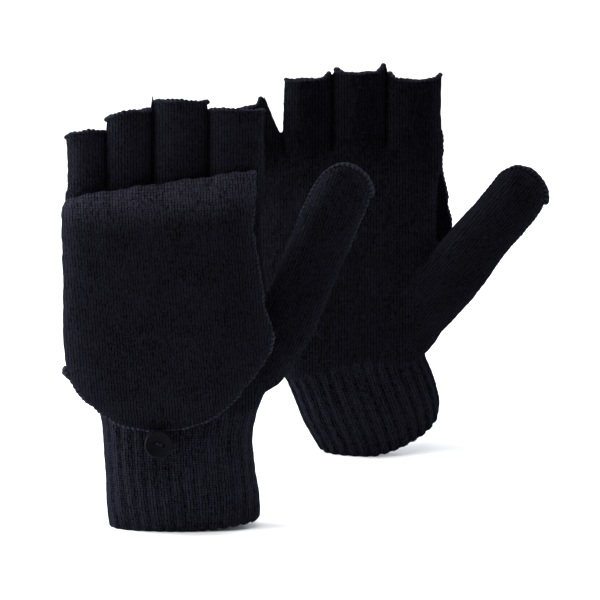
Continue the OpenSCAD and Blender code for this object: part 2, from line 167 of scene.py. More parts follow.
def spow(v, p):
    return np.sign(v) * np.abs(v) ** p


def unit(v):
    return v / np.maximum(np.linalg.norm(v, axis=1), 1e-12)[:, None]


def arc_of(p):
    """Length along a path at each of its points."""
    return np.concatenate([[0], np.cumsum(np.linalg.norm(np.diff(p, axis=0), axis=1))])


def along(p, arc, at):
    return np.stack([np.interp(at, arc, p[:, i]) for i in range(3)], 1)


def resample(path, step, closed=False):
    """The path again, with its points evenly spaced."""
    p = np.vstack([path, path[:1]]) if closed else np.array(path, float)
    arc = arc_of(p)
    k = max(int(round(arc[-1] / step)), 4)
    return along(p, arc, np.linspace(0, arc[-1], k if closed else k + 1, endpoint=not closed))


def smooth_rows(rows, sub):
    """Catmull-Rom through the rows, sub steps between neighbours."""
    r = np.array(rows, float)
    e = np.vstack([2 * r[0] - r[1], r, 2 * r[-1] - r[-2]])
    out = []
    for i in range(len(r) - 1):
        a, b, c, d = e[i], e[i + 1], e[i + 2], e[i + 3]
        for k in range(sub):
            t = k / sub
            out.append(0.5 * (2 * b + (c - a) * t + (2 * a - 5 * b + 4 * c - d) * t * t
                              + (3 * b - a - 3 * c + d) * t ** 3))
    out.append(r[-1])
    return np.array(out)


def leaning(degrees):
    """Directions across and along a part that leans towards +X."""
    a = math.radians(degrees)
    return np.array([math.cos(a), 0, -math.sin(a)]), np.array([math.sin(a), 0, math.cos(a)])


def axes(s):
    """Directions of a ring's width and depth."""
    t, a = leaning(s[3])
    pitch = math.radians(s[4])
    return t, np.array([0, math.cos(pitch), 0]) - math.sin(pitch) * a


def ring(s, count=64, grow=0.0, n=OUTLINE):
    """Points round a ring, evenly spaced along it. grow may vary round it."""
    n = s[7] if len(s) > 7 else n
    fine = np.linspace(0, 2 * np.pi, 721)
    u = s[5] * spow(np.cos(fine), 2 / n)
    v = s[6] * spow(np.sin(fine), 2 / n)
    arc = np.concatenate([[0], np.cumsum(np.hypot(np.diff(u), np.diff(v)))])
    at = np.linspace(0, arc[-1], count, endpoint=False)
    u, v = np.interp(at, arc, u), np.interp(at, arc, v)
    du, dv = np.roll(u, -1) - np.roll(u, 1), np.roll(v, -1) - np.roll(v, 1)
    m = np.hypot(du, dv)
    u, v = u + grow * dv / m, v - grow * du / m
    t, b = axes(s)
    return np.array(s[:3]) + u[:, None] * t + v[:, None] * b


def world(p, side):
    """From a mitten's frame in mm to the shared frame in m."""
    q = np.array(p, float)
    if side == "right":
        q[..., 1] = -q[..., 1]
    return (q + SEAT) / 1000


def bump(v, size, seed=0.0):
    """Smooth noise at each point, wavelength size in mm."""
    return np.array([noise.noise(Vector(p)) for p in v / size + [seed, -seed, 2 * seed]])


# ---- meshes --------------------------------------------------------------------

def grid_faces(rows, cols, closed):
    out = []
    for r in range(rows - 1):
        for c in range(cols if closed else cols - 1):
            d = (c + 1) % cols
            out.append((r * cols + c, r * cols + d, (r + 1) * cols + d, (r + 1) * cols + c))
    return out


def end_faces(rows, cols):
    return [tuple(range(cols))[::-1], tuple(range((rows - 1) * cols, rows * cols))]


def turned(f):
    return [tuple(reversed(q)) for q in f]


def quad(q):
    """A face's four corners. A triangle repeats its last one."""
    q = tuple(q)
    return q[:4] if len(q) > 3 else q + (q[2],)


def face_normals(v, f):
    return np.cross(v[f[:, 2]] - v[f[:, 0]], v[f[:, 3]] - v[f[:, 1]])


def normals_of(v, f):
    f = np.array(f)
    n = face_normals(v, f)
    out = np.zeros_like(v)
    for k in range(4):
        np.add.at(out, f[:, k], n)
    return unit(out)


def merge(parts):
    """Several pairs of points and faces as one."""
    faces, base = [], 0
    for p, f in parts:
        faces += [tuple(i + base for i in q) for q in f]
        base += len(p)
    return np.concatenate([p for p, _ in parts]), faces


def link(ob):
    bpy.context.scene.collection.objects.link(ob)
    return ob


def build(name, verts, faces, mat, side, uv=None, uv_loop=None, normals=None):
    """A mesh object from points in the mitten's frame. uv is per point."""
    if side == "right":
        faces = turned(faces)
    me = bpy.data.meshes.new(name)
    me.from_pydata([tuple(p) for p in world(verts, side)], [], [tuple(f) for f in faces])
    me.materials.append(mat)
    if uv is not None or uv_loop is not None:
        layer = me.uv_layers.new(name="Knit")
        idx = np.empty(len(me.loops), np.int32)
        me.loops.foreach_get("vertex_index", idx)
        data = uv_loop if uv is None else np.asarray(uv, float)[idx]
        layer.data.foreach_set("uv", np.asarray(data, np.float32).ravel())
    me.polygons.foreach_set("use_smooth", np.ones(len(me.polygons), bool))
    me.update()
    if normals is not None:
        n = np.array(normals, float)
        if side == "right":
            n[:, 1] = -n[:, 1]
        me.normals_split_custom_set_from_vertices([tuple(x) for x in n])
    return link(bpy.data.objects.new(name, me))


def sweep(path, radius, closed=False, sides=10, squash=1.0, up=(0, 1, 0)):
    """Tube along path with a radius at each point: points, faces, uv in mm."""
    p = np.array(path, float)
    k = len(p)
    t = unit(np.roll(p, -1, 0) - np.roll(p, 1, 0) if closed else np.gradient(p, axis=0))
    s = unit(np.cross(t, np.array(up, float)))
    w = np.cross(s, t)
    radius = np.broadcast_to(radius, (k,))
    ang = np.linspace(0, 2 * np.pi, sides, endpoint=False)
    ca, sa = np.cos(ang)[:, None], np.sin(ang)[:, None]
    verts = [p[i] + radius[i] * (ca * s[i] * squash + sa * w[i]) for i in range(k)]
    uv = [np.stack([ang * radius.mean(), np.full(sides, a)], 1) for a in arc_of(p)]
    faces = grid_faces(k, sides, True)
    if closed:
        last = (k - 1) * sides
        faces += [(last + c, last + (c + 1) % sides, (c + 1) % sides, c) for c in range(sides)]
    else:
        faces += end_faces(k, sides)
    return np.concatenate(verts), faces, np.concatenate(uv)


def closed_loft(rows, sub=4, count=56):
    """Rings joined into a solid, with a fan of triangles at each end."""
    r = smooth_rows(rows, sub)
    p = np.concatenate([ring(s, count) for s in r])
    k = len(r)
    f = grid_faces(k, count, True)
    lo, hi = len(p), len(p) + 1
    last = (k - 1) * count
    p = np.vstack([p, r[0][:3], r[-1][:3]])
    f += [(lo, (c + 1) % count, c) for c in range(count)]
    f += [(hi, last + c, last + (c + 1) % count) for c in range(count)]
    return p, f


def union(parts):
    """One skin round overlapping closed bodies."""
    verts, faces = merge(parts)
    me = bpy.data.meshes.new("union")
    me.from_pydata([tuple(x) for x in verts / 1000], [], faces)
    ob = link(bpy.data.objects.new("union", me))
    r = ob.modifiers.new("r", "REMESH")
    r.mode = "VOXEL"
    r.voxel_size = VOXEL / 1000
    s = ob.modifiers.new("s", "SMOOTH")
    s.factor = 0.5
    s.iterations = SMOOTHING
    ev = ob.evaluated_get(bpy.context.evaluated_depsgraph_get())
    out = ev.to_mesh()
    v = np.empty(len(out.vertices) * 3)
    out.vertices.foreach_get("co", v)
    f = np.array([quad(p.vertices) for p in out.polygons])
    ev.to_mesh_clear()
    bpy.data.objects.remove(ob)
    return v.reshape(-1, 3) * 1000, f


def fuzz(part, verts, faces, side, seed):
    """Loose fibres that stand off a surface: thin curled ribbons."""
    v = np.asarray(verts, float)
    f = np.array([quad(q) for q in faces])
    n = face_normals(v, f)
    size = np.linalg.norm(n, axis=1)
    count = FIBRES[part]
    rng = np.random.RandomState(seed)
    pick = rng.choice(len(f), count, p=size / size.sum())
    a, b = rng.rand(count, 1), rng.rand(count, 1)
    q = f[pick]
    root = ((1 - a) * (1 - b) * v[q[:, 0]] + a * (1 - b) * v[q[:, 1]]
            + a * b * v[q[:, 2]] + (1 - a) * b * v[q[:, 3]])
    n = n[pick] / size[pick][:, None]
    t = unit(np.cross(n, rng.normal(size=(count, 3))))
    s = np.cross(n, t)
    length = 0.7 + 1.9 * rng.rand(count, 1) ** 1.6
    rise, curl = 0.25 + 0.75 * rng.rand(count, 1), rng.uniform(-0.9, 0.9, (count, 1))
    droop = rng.uniform(-0.6, 0.9, (count, 1))
    p0 = root - 0.12 * n
    p1 = p0 + length * 0.36 * (n * rise + t)
    p2 = p1 + length * 0.34 * (n * rise * 0.8 + t + s * curl)
    p3 = p2 + length * 0.30 * (n * rise * droop + t * 0.5 + s * curl * 1.6)
    w = (0.022 + 0.022 * rng.rand(count, 1)) * (s + 0.6 * n)
    pts = np.stack([p0 - w, p0 + w, p1 - w, p1 + w, p2 - w * 0.8, p2 + w * 0.8,
                    p3 - w * 0.4, p3 + w * 0.4], 1)
    base = np.arange(count)[:, None, None] * 8
    quads = (base + np.array([[0, 1, 3, 2], [2, 3, 5, 4], [4, 5, 7, 6]])[None]).reshape(-1, 4)
    ob = build(f"{side}_{part}_fuzz", pts.reshape(-1, 3), quads.tolist(), FIBRE, side)
    return ob


# ---- materials -----------------------------------------------------------------

class Nodes:
    """A material's node tree, with its output and main shader in place."""

    def __init__(self, name):
        self.mat = bpy.data.materials.new(name)
        self.mat.use_nodes = True
        self.t = self.mat.node_tree
        self.t.nodes.clear()
        self.out = self.t.nodes.new("ShaderNodeOutputMaterial")
        self.b = self.t.nodes.new("ShaderNodeBsdfPrincipled")
        self.t.links.new(self.b.outputs[0], self.out.inputs[0])

    def put(self, socket, value):
        if isinstance(value, bpy.types.NodeSocket):
            self.t.links.new(value, socket)
        else:
            socket.default_value = value

    def math(self, op, a, b=None, c=None, clamp=False):
        n = self.t.nodes.new("ShaderNodeMath")
        n.operation = op
        n.use_clamp = clamp
        for i, v in enumerate((a, b, c)):
            if v is not None:
                self.put(n.inputs[i], v)
        return n.outputs[0]

    def tex(self, kind, **kw):
        n = self.t.nodes.new(kind)
        for k, v in kw.items():
            if k in n.inputs:
                self.put(n.inputs[k], v)
            else:
                setattr(n, k, v)
        return n.outputs[0]

    def mix(self, f, a, b):
        n = self.t.nodes.new("ShaderNodeMix")
        n.data_type = "RGBA"
        self.put(n.inputs["Factor"], f)
        self.put(n.inputs[6], a)
        self.put(n.inputs[7], b)
        return n.outputs[2]

    def ramp(self, f, lo, hi, a=0.0, b=1.0):
        n = self.t.nodes.new("ShaderNodeMapRange")
        n.interpolation_type = "SMOOTHSTEP"
        for i, v in enumerate((f, lo, hi, a, b)):
            self.put(n.inputs[i], v)
        return n.outputs[0]

    def split(self, vector):
        n = self.t.nodes.new("ShaderNodeSeparateXYZ")
        self.put(n.inputs[0], vector)
        return n.outputs

    def knit_map(self):
        n = self.t.nodes.new("ShaderNodeUVMap")
        n.uv_map = "Knit"
        return n.outputs[0]

    def position(self):
        return self.t.nodes.new("ShaderNodeTexCoord").outputs["Object"]

    def cloth(self, sheen, sheen_roughness, tint):
        """Matte fibre with a faint sheen."""
        self.b.inputs["Roughness"].default_value = 0.85
        self.b.inputs["Specular IOR Level"].default_value = 0.0
        self.b.inputs["Sheen Weight"].default_value = sheen
        self.b.inputs["Sheen Roughness"].default_value = sheen_roughness
        self.b.inputs["Sheen Tint"].default_value = tint

    def relief(self, height, strength, distance):
        n = self.t.nodes.new("ShaderNodeBump")
        n.inputs["Strength"].default_value = strength
        n.inputs["Distance"].default_value = distance
        self.put(n.inputs["Height"], height)
        self.put(self.b.inputs["Normal"], n.outputs[0])


def knit_material(name, dark, light, sheen=0.02, grain=1.0, ribbed=0.0, shade=None,
                  groove_painted_shade=False, painted_mouth_light=False):
    """Jersey: columns of V stitches from the Knit map, which is in stitches.
    shade gives painted light and shade that change with height: two heights and the tone above
    them, in m."""
    g = Nodes(name)
    uv = g.knit_map()
    wob = g.tex("ShaderNodeTexNoise", Vector=uv, Scale=0.4, Detail=2.0)
    raw = g.split(uv)
    u = g.math("MULTIPLY_ADD", wob, 0.7, raw[0])
    v = g.math("MULTIPLY_ADD", wob, 0.5, raw[1])
    # each stitch: two slanted legs, a groove between columns
    m = g.math("MULTIPLY", g.math("ABSOLUTE", g.math("SUBTRACT", g.math("FRACT", u), 0.5)), 2.0)
    leg = g.math("MULTIPLY_ADD", m, -0.62, v)
    s = g.math("SINE", g.math("MULTIPLY", g.math("FRACT", leg), math.pi))
    half = g.math("MULTIPLY", u, 2.0)
    across = g.math("SINE", g.math("MULTIPLY", g.math("FRACT", half), math.pi))
    across = g.math("POWER", g.math("ABSOLUTE", across), 0.7)
    groove = g.ramp(m, 0.38, 1.0, 1.0, 0.0)
    h = g.math("MULTIPLY", g.math("MULTIPLY_ADD", s, 0.7, 0.3),
               g.math("MULTIPLY", across, groove))
    if ribbed:  # four columns make one rib and one furrow; the furrows get painted shade and less relief
        wave = g.math("SINE", g.math("MULTIPLY", u, 2 * math.pi / WALES_PER_RIB))
        h = g.math("MULTIPLY", h, g.ramp(wave, -1.0, 0.2, ribbed, 1.0))
    # every leg has its own tone, then fine, middling and wide unevenness
    cell = g.t.nodes.new("ShaderNodeCombineXYZ")
    g.put(cell.inputs[0], g.math("FLOOR", half))
    g.put(cell.inputs[1], g.math("FLOOR", leg))
    rnd = g.tex("ShaderNodeTexWhiteNoise", Vector=cell.outputs[0])
    pos = g.position()
    fine = g.tex("ShaderNodeTexNoise", Vector=pos, Scale=1300.0, Detail=3.0, Roughness=0.75)
    mid = g.tex("ShaderNodeTexNoise", Vector=pos, Scale=620.0, Detail=2.0, Roughness=0.6)
    wide = g.tex("ShaderNodeTexNoise", Vector=pos, Scale=70.0, Detail=4.0, Roughness=0.6)
    tone = g.math("MULTIPLY", h, g.math("MULTIPLY_ADD", rnd, 1.15, 0.55))
    tone = g.math("ADD", tone, g.math("MULTIPLY_ADD", fine, 1.3 * grain, -0.62 * grain))
    tone = g.math("ADD", tone, g.math("MULTIPLY_ADD", mid, 0.7 * grain, -0.33 * grain))
    tone = g.math("ADD", tone, g.math("MULTIPLY_ADD", wide, 0.46, -0.23), clamp=True)
    # painted shade in the grooves between the stalls and inside them, from the points' attribute
    if groove_painted_shade:  # grooves between the stalls
        att = g.t.nodes.new("ShaderNodeAttribute")
        att.attribute_name = "Shade"
        tone = g.math("MULTIPLY", tone, att.outputs["Fac"])
    top = (*light, 1)
    if painted_mouth_light:  # painted light: the top of the cap by its rolled mouth is lighter
        top = g.mix(g.ramp(raw[1], -3.0, 11.0), (*[c * 2.5 for c in light], 1), top)
    # painted light and shade: the tone changes between two heights
    if shade:
        low, high, above = shade
        tone = g.math("MULTIPLY", tone, g.ramp(g.split(pos)[2], low, high, 1.0, above))
    g.put(g.b.inputs["Base Color"], g.mix(tone, (*dark, 1), top))
    g.cloth(sheen, 0.28, (0.62, 0.66, 0.95, 1))
    g.relief(g.math("MULTIPLY_ADD", fine, 0.6, h), 1.0, 0.0005)
    return g.mat


def yarn_material(name, dark, light, ply):
    """Bare yarn of seams and edges: plies ply mm apart along the Knit map."""
    g = Nodes(name)
    raw = g.split(g.knit_map())
    a = g.math("MULTIPLY_ADD", raw[0], 0.6, raw[1])
    h = g.math("MULTIPLY_ADD", g.math("SINE", g.math("MULTIPLY", a, 2 * math.pi / ply)), 0.5, 0.5)
    fine = g.tex("ShaderNodeTexNoise", Vector=g.position(), Scale=1700.0, Detail=3.0,
                 Roughness=0.7)
    tone = g.math("ADD", g.math("MULTIPLY", h, 0.6), g.math("MULTIPLY_ADD", fine, 0.9, -0.3),
                  clamp=True)
    g.put(g.b.inputs["Base Color"], g.mix(tone, (*dark, 1), (*light, 1)))
    g.cloth(0.03, 0.45, (0.66, 0.7, 1.0, 1))
    g.relief(g.math("MULTIPLY_ADD", fine, 0.6, h), 0.9, 0.0003)
    return g.mat


def plastic_material(name):
    """Dark swirled plastic with fine scratches."""
    g = Nodes(name)
    pos = g.position()
    swirl = g.tex("ShaderNodeTexNoise", Vector=pos, Scale=240.0, Detail=4.0, Distortion=1.5)
    scratch = g.tex("ShaderNodeTexNoise", Vector=pos, Scale=2600.0, Detail=2.0)
    g.put(g.b.inputs["Base Color"],
          g.mix(swirl, (0.0022, 0.0021, 0.0028, 1), (0.0046, 0.0045, 0.0061, 1)))
    g.put(g.b.inputs["Roughness"], g.ramp(scratch, 0.2, 0.8, 0.3, 0.48))
    g.b.inputs["Specular IOR Level"].default_value = 0.015
    g.relief(scratch, 0.25, 0.0001)
    return g.mat


def fibre_material(name):
    g = Nodes(name)
    vary = g.tex("ShaderNodeTexNoise", Vector=g.position(), Scale=900.0, Detail=1.0)
    g.put(g.b.inputs["Base Color"],
          g.mix(vary, (0.002, 0.002, 0.003, 1), (0.0095, 0.0093, 0.014, 1)))
    g.b.inputs["Roughness"].default_value = 0.7
    g.b.inputs["Specular IOR Level"].default_value = 0.1
    return g.mat


BLACK = (0.0002, 0.0002, 0.0003)
CHARCOAL = (0.0003, 0.0003, 0.0004)
NAVY = (0.0112, 0.0108, 0.0163)
# painted shade: a darker navy for the right mitten's knit, the same yarn as the left
NAVY_PAINTED_DARKER = (0.0090, 0.0087, 0.0129)
# painted shade: the right mitten's knit is darker above its knuckles
RIGHT_KNUCKLE_PAINTED_SHADE = (0.13, 0.152, 0.62)  # the right mitten is darker above its knuckles

JERSEY = knit_material("jersey_knit", BLACK, NAVY)
# painted light: the left stalls are lighter above the knuckles, and painted shade darkens their
# grooves
STALLS = knit_material("stall_knit", BLACK, NAVY, shade=(0.160, 0.178, 1.18), groove_painted_shade=True)
# painted shade: the right mitten's knit is a darker copy, darker still above its knuckles
JERSEY_PAINTED_DARKER = knit_material("jersey_knit_painted_shade", BLACK, NAVY_PAINTED_DARKER, shade=RIGHT_KNUCKLE_PAINTED_SHADE)
STALLS_PAINTED_DARKER = knit_material("stall_knit_painted_shade", BLACK, NAVY_PAINTED_DARKER, shade=RIGHT_KNUCKLE_PAINTED_SHADE, groove_painted_shade=True)
CAPKNIT = knit_material("cap_knit", CHARCOAL, (0.0118, 0.0115, 0.0170), sheen=0.025,
                        grain=1.2, painted_mouth_light=True)
RIB = knit_material("rib_knit", CHARCOAL, (0.0190, 0.0186, 0.0278), sheen=0.035, grain=1.1,
                    ribbed=0.72)
# painted shade: the right cuff is a darker copy, with stronger painted shade in its furrows
RIB_PAINTED_DARKER = knit_material("rib_knit_painted_shade", CHARCOAL, (0.0150, 0.0147, 0.0218), ribbed=0.4)
EDGE = yarn_material("edge_yarn", (0.0012, 0.0012, 0.0019), (0.0215, 0.0209, 0.0322), 2.2)
SEAM = yarn_material("seam_yarn", (0.0050, 0.0049, 0.0074), (0.0290, 0.0282, 0.0420), 2.3)
THREAD = yarn_material("button_thread", (0.004, 0.004, 0.006), (0.018, 0.018, 0.026), 0.8)
BUTTON = plastic_material("button_plastic")
FIBRE = fibre_material("loose_fibre")
# the right mitten's pair are the copies painted darker
BODY_KNITS = {"left": (JERSEY, STALLS), "right": (JERSEY_PAINTED_DARKER, STALLS_PAINTED_DARKER)}


# ---- the knitted body: hand, stalls and thumb ----------------------------------

def knuckle_z(d, x):
    top = d["hand"][-1]
    return top[2] + (x - top[0]) * math.tan(TILT)


def stall_mid(s, f):
    return s[0] + (s[1] - s[0]) * f


def top_z(s, x, y=0.0):
    """Height of a stall's edge, which leans back and has raised corners."""
    e = np.clip((x - s[1]) / s[2], -1.1, 1.1)
    return (s[3] + s[4] * e + s[5] * np.abs(e) ** 2.2 + s[6] * np.exp(-((e + 0.97) / 0.2) ** 2)
            + s[7] * np.exp(-((e - 0.97) / 0.2) ** 2) - 1.3 - 0.27 * y)


def thumb_rings(d):
    return d["gusset"] + d["thumb"][1:]


def stall_rings(side, s):
    """A stall's solid, from inside the hand to past its edge. Rows: share of
    the height, wider by, half depth, outline power."""
    d = M[side]
    z0 = knuckle_z(d, s[0])
    slim = {"left": 0.3, "right": 1.0}[side]
    shape = ((0, 0.3, 8.2, 2.6), (0.1, 0.4, 9.0, 2.3), (0.3, 0.05 * slim, 9.6, 2.0),
             (0.6, -0.2 * slim, 9.0, 1.95), (0.85, -0.35 * slim, 7.0, 2.0),
             (1.0, -0.4 * slim, 5.4, 2.1))
    return [[stall_mid(s, f), d["hand"][-1][1], z0 + (s[3] + 8 - z0) * f - 14 * (f < 0.01), 0, 0,
             s[2] + wider, depth, power] for f, wider, depth, power in shape]


def fold_depth(v, n, folds):
    """How far each point sinks into a crease or swells beside it."""
    d = np.zeros(len(v))
    for (x0, z0), (x1, z1), face, w, deep in folds:
        a, b = np.array([x0, z0], float), np.array([x1, z1], float)
        q = v[:, [0, 2]] - a
        t = np.clip(q @ (b - a) / ((b - a) @ (b - a)), 0, 1)
        dist = np.linalg.norm(q - t[:, None] * (b - a), axis=1)
        side = np.clip(n[:, 1] * face * 1.5, 0, 1)
        end = np.sin(np.pi * (0.08 + 0.84 * t)) ** 0.7
        d += deep * end * side * (-np.exp(-(dist / w) ** 2)
                                  + 0.45 * np.exp(-((dist - 1.9 * w) / w) ** 2))
    return d


def skin(side):
    """Hand, thumb and stalls as one surface, open at the stalls and wrist."""
    d = M[side]
    parts = [closed_loft(d["hand"]), closed_loft(thumb_rings(d))]
    if side == "right":
        parts.append(closed_loft(HEEL, 4, 40))
    parts += [closed_loft(stall_rings(side, s), 3, 40) for s in d["stalls"]]
    v, f = union(parts)
    n = normals_of(v, f)
    rough = (0.34 * bump(v, 24, 3.1) + 0.2 * bump(v * [1.6, 1, 0.6], 11, 7.7)
             + 0.3 * bump(v, 2.6, 1.3))
    v = v + n * (rough + fold_depth(v, n, FOLDS[side]))[:, None]
    # flat bound-off tops
    lowest = d["stalls"][0][3] - 12
    high = np.zeros(len(v), bool)
    for s in d["stalls"]:
        tz = top_z(s, v[:, 0], (v[:, 1] - d["hand"][-1][1]) * FRONT[side])
        hit = (np.abs(v[:, 0] - s[1]) < s[2] + 0.5) & (v[:, 2] > tz) & (v[:, 2] > lowest)
        high |= hit
        v[hit, 2] = tz[hit]
    x, _, z, lean = d["hand"][0][:4]
    low = v[:, 2] < z + 1.2 + (v[:, 0] - x) * math.tan(math.radians(-lean))
    return v, f[~high[f].all(1) & ~low[f].all(1)]


def thumb_faces(d, mid):
    """Faces outside the palm's own outline and near the thumb's centre line."""
    hand = np.array(d["hand"], float)
    cx, cy, ra, rb = (np.interp(mid[:, 2], hand[:, 2], hand[:, i]) for i in (0, 1, 5, 6))
    out = (np.abs(mid[:, 0] - cx) / ra) ** OUTLINE + (np.abs(mid[:, 1] - cy) / rb) ** OUTLINE
    above = mid[:, 2] - knuckle_z(d, mid[:, 0])
    root = d["thumb"][0]
    th = (out > 1.12) & (mid[:, 0] > cx) & (above < 40)
    th &= (mid[:, 0] > root[0] - root[5] - 6) | (out > 1.5)
    th &= ~((mid[:, 0] < cx + ra + 9) & (above > 2))
    gap = np.min([np.hypot(mid[:, 0] - r[0], mid[:, 2] - r[2]) - r[5]
                  for r in smooth_rows(thumb_rings(d), 6)], axis=0)
    return th & (gap < 3)


def body_map(d, v, f, thumb):
    """The knit map: columns run along each part and turn on to its sides."""
    p = v[f]
    n = unit(face_normals(v, f))
    across, up = leaning(d["thumb"][0][3] + 2)
    hand_u = np.where((np.abs(n[:, 0]) > 0.8)[:, None], p[..., 1] + 400, p[..., 0])
    thumb_u = np.where((np.abs(n @ across) > 0.8)[:, None], p[..., 1] + 400, p @ across + 200)
    u = np.where(thumb[:, None], thumb_u, hand_u)
    w = np.where(thumb[:, None], p @ up, p[..., 2])
    return np.stack([u / WALE, w / COURSE], -1)


def knitted_body(side):
    """Three pieces of one skin: points, faces, knit map and normals of each."""
    d = M[side]
    v, f = skin(side)
    n = normals_of(v, f)
    mid = v[f].mean(1)
    th = thumb_faces(d, mid)
    uv = body_map(d, v, f, th)
    root = d["thumb"][0]
    thumb = ((mid - root[:3]) @ leaning(root[3])[1] > 0.3) & th
    fingers = (mid[:, 2] > knuckle_z(d, mid[:, 0]) - 1.5) & ~thumb
    out = {}
    for key, pick in (("hand", ~thumb & ~fingers), ("thumb", thumb), ("fingers", fingers)):
        used, inv = np.unique(f[pick], return_inverse=True)
        out[key] = (v[used], inv.reshape(-1, 4), uv[pick], n[used])
    return out


def blend_thumb(ob, side):
    """Bakes the thumb piece's placement into its points. The ends of the thumb's bending root are
    found but not used.
    """
    root = M[side]["thumb"][0]
    a = np.array(root[:3], float)
    end = a + THUMB_BEND * leaning(root[3])[1]
    tuple(world(a, side))
    tuple(world(end, side))
    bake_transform(ob)


def groove_shade(d, v, outer):
    """Painted shade: darker in the grooves between stalls and, past point outer, inside them."""
    out = np.ones(len(v))
    for a, b in zip(d["stalls"][:-1], d["stalls"][1:]):
        z0 = knuckle_z(d, a[0])
        f = np.clip((v[:, 2] - z0) / (a[3] - z0), 0, 1)
        x = v[:, 0] - (stall_mid(a, f) + a[2] + stall_mid(b, f) - b[2]) / 2
        near = np.exp(-(x / np.where(x < 0, 3.0, 1.3)) ** 2)
        out *= 1 - 0.72 * near * np.clip((v[:, 2] - z0 + 1) / 7, 0, 1)
    out[outer:] = 0.45
    return out


def stall_lining(side, s, rows=10, count=40):
    """The inside of a stall: points, faces, knit map and normals."""
    d = M[side]
    z0 = knuckle_z(d, s[0]) - 3
    y = d["hand"][-1][1]
    p = []
    for k in range(rows):
        g = k / (rows - 1)
        x = stall_mid(s, 1 - g)
        r = ring([x, y, 0, 0, 0, s[2] - LINING, 3.8 + 2.9 * min(1, 2 * g)], count, n=2.2)
        zt = top_z(s, r[:, 0] - x + s[1], (r[:, 1] - y) * FRONT[side])
        r[:, 2] = zt + (z0 - zt) * g
        p.append(r)
    p = np.concatenate(p)
    f = grid_faces(rows, count, True)
    t = np.stack([np.tile(np.arange(count) * 1.35, rows), p[:, 2]], 1) / [WALE, COURSE]
    loop = np.concatenate([t[list(q[::FRONT[side]])] for q in f])
    return p, f, loop, normals_of(p, f)


def knitted_pieces(side):
    """Builds the three pieces. Gives the objects and their bare surfaces."""
    d = M[side]
    made, skins = {}, {}
    for key, (v, f, uv, n) in knitted_body(side).items():
        skins[key] = (v, f)
        faces = [tuple(dict.fromkeys(q)) for q in f]
        loop = np.concatenate([u[:len(q)][::FRONT[side]] for u, q in zip(uv, faces)])
        if key == "fingers":
            inside = [stall_lining(side, s) for s in d["stalls"]]
            v, faces = merge([(v, faces)] + [x[:2] for x in inside])
            loop = np.concatenate([loop] + [x[2] for x in inside])
            n = np.concatenate([n] + [x[3] for x in inside])
        mat = BODY_KNITS[side][key == "fingers"]
        ob = build(f"{side}_{key}_knit", v, faces, mat, side, uv_loop=loop, normals=n)
        if key == "fingers":
            # painted shade in the grooves between the stalls and inside them
            tone = ob.data.attributes.new("Shade", "FLOAT", "POINT")
            shade = groove_shade(d, v, len(skins[key][0]))
            tone.data.foreach_set("value", shade.astype(np.float32))
        made[key] = ob
    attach(made["hand"], f"{side}_mitten")
    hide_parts(f"{side}_hand")
    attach(made["fingers"], f"{side}_mitten")
    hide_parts(*[f"{side}_{x}_stall" for x in FINGERS])
    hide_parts(f"{side}_thumb", f"{side}_thumb_root")
    blend_thumb(made["thumb"], side)
    return made, skins


def finger_edges(side):
    """Bound-off chain round the top of each stall."""
    d = M[side]
    y = d["hand"][-1][1]
    inset = {"left": 0.7, "right": 1.1}[side]
    step, chain = 0.3, 2.2
    out = []
    for name, s in zip(FINGERS, d["stalls"]):
        r = ring([s[1], y, 0, 0, 0, s[2] - inset, 5.3], 240, n=2.2)
        r[:, 2] = top_z(s, r[:, 0], (r[:, 1] - y) * FRONT[side])
        r[:, 2] += 0.25
        p = resample(r, step, True)
        k = len(p)
        ph = np.arange(k) / k * round(k * step / chain)
        beads = np.abs(np.sin(np.pi * ph))
        rad = 0.66 + 0.5 * beads ** 0.8 + 0.35 * bump(p, 3.5, 5.0)
        outwards = unit((p - p.mean(0)) * [1, 1, 0])
        p = p + outwards * (0.35 * np.sin(2 * np.pi * ph))[:, None] * 0.6
        p[:, 2] += 0.35 * beads + 0.75 * bump(p, 5, 9.0)
        v, f, uv = sweep(p, rad, True, up=(0, 0, 1))
        ob = build(f"{side}_{name}_bound_off", v, f, EDGE, side, uv=uv)
        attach(ob, f"{side}_mitten")
        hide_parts(f"{side}_{name}_edge")
        out.append(ob)
    return out


def thumb_seam(side):
    """Light ridge over the tip and down the outer side, with a thread end."""
    rows = smooth_rows(M[side]["thumb"], 6)
    k = len(rows)
    reach = [axes(s)[0] * (s[5] + 0.1) for s in rows]
    left = [s[:3] - t for s, t in zip(rows, reach)][int(k * 0.30):]
    right = [s[:3] + t for s, t in zip(rows, reach)][::-1][:int(k * 0.80)]
    p = np.array(left + right)
    part = np.concatenate([np.linspace(0, 1, len(left)), np.linspace(1, 2, len(right))])
    arc = arc_of(p)
    at = np.linspace(0, arc[-1], int(arc[-1] / STEP))
    p, part = along(p, arc, at), np.interp(at, arc, part)
    # the flange is widest past the tip and stops short in a small tail
    wide = np.interp(part, [0.0, 0.6, 0.85, 1.1, 1.34, 1.40, 1.44, 2.0],
                     [0, 0.1, 0.55, 0.8, 1.0, 0.9, 0.05, 0.0])
    near_tip = rows[int(k * 0.8)]
    out = unit((p - near_tip[:3]) * [1, 0, 1])
    out = np.where((part > 1.15)[:, None], 0.45 * out + 0.55 * axes(near_tip)[0], out)
    p = p + out * (1.5 * wide)[:, None]
    p[:, 1] += 0.5 * bump(p, 14, 6.0)
    fade = np.clip(np.minimum(at, at[-1] - at) / 10, 0.2, 1)
    rad = (0.42 + 0.18 * np.abs(np.sin(np.pi * at / 2.2)) + 0.75 * wide
           + 0.3 * bump(p, 3.4, 2.9)) * fade
    v, f, uv = sweep(p, rad, squash=1.15)
    ob = build(f"{side}_thumb_seam", v, f, SEAM if side == "left" else EDGE, side, uv=uv)
    blend_thumb(ob, side)


# ---- cuff ----------------------------------------------------------------------

